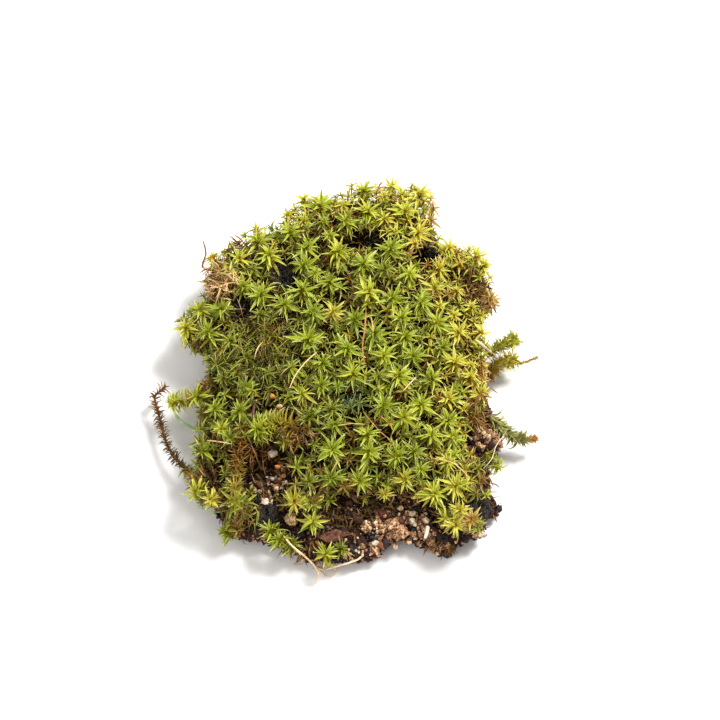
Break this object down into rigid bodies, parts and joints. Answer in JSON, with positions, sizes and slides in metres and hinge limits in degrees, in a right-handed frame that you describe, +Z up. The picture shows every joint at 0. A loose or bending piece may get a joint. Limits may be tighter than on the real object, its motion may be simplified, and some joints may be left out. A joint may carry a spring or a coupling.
{
  "type": "moss clump",
  "caption": "Clump of star-leaved moss on a crumbly pad of soil, with stray shoots, tufts, roots, dead stalks and sand grains.",
  "frame": {"origin": "bottom centre of the clump's box, on the flat underside of the soil", "axes": "+Z up through the moss, +Y away from the viewer of the picture (its top edge), +X to the viewer's right"},
  "size_m": [0.0552, 0.0608, 0.0132],
  "materials": {
    "soil": "damp dark crumbly soil with sand grains",
    "moss": "matte to slightly waxy green leaves",
    "olive_moss": "duller green to brown leaves",
    "dead_stem": "dry dark brown stems and leaves",
    "straw": "dry straw-coloured stalks and roots",
    "grass": "smooth pale green blade",
    "sand": "dull to glassy sand grains"
  },
  "bodies": {
    "root": {"soil_pad": "soil", "moss_carpet": "moss", "front_tuft": "moss", "root_tuft": "moss", "left_front_tuft": "olive_moss", "corner_tuft": "olive_moss", "long_brown_shoot": "dead_stem", "left_shoot": "olive_moss", "right_shoot_upper": "olive_moss", "right_shoot_lower": "olive_moss", "feather_sprig": "olive_moss", "green_tip": "olive_moss", "grass_blade": "grass", "brown_seta": "dead_stem", "tan_seta": "straw", "straw_stalk": "straw", "pink_stalk": "straw", "arched_stalk": "straw", "pale_hair": "straw", "dark_twig": "dead_stem", "white_stick": "straw", "root_left": "straw", "root_right": "straw", "leaf_scrap": "dead_stem", "sand_ball": "sand", "lobed_grain": "sand", "orange_grain": "sand", "white_grain": "sand", "pale_grain": "sand", "tan_grain": "sand", "ledge_grain": "sand", "grey_pebble": "sand", "front_grain": "sand", "corner_grain": "sand", "orange_bead": "straw", "brown_seed": "straw"}
  },
  "joints": []
}
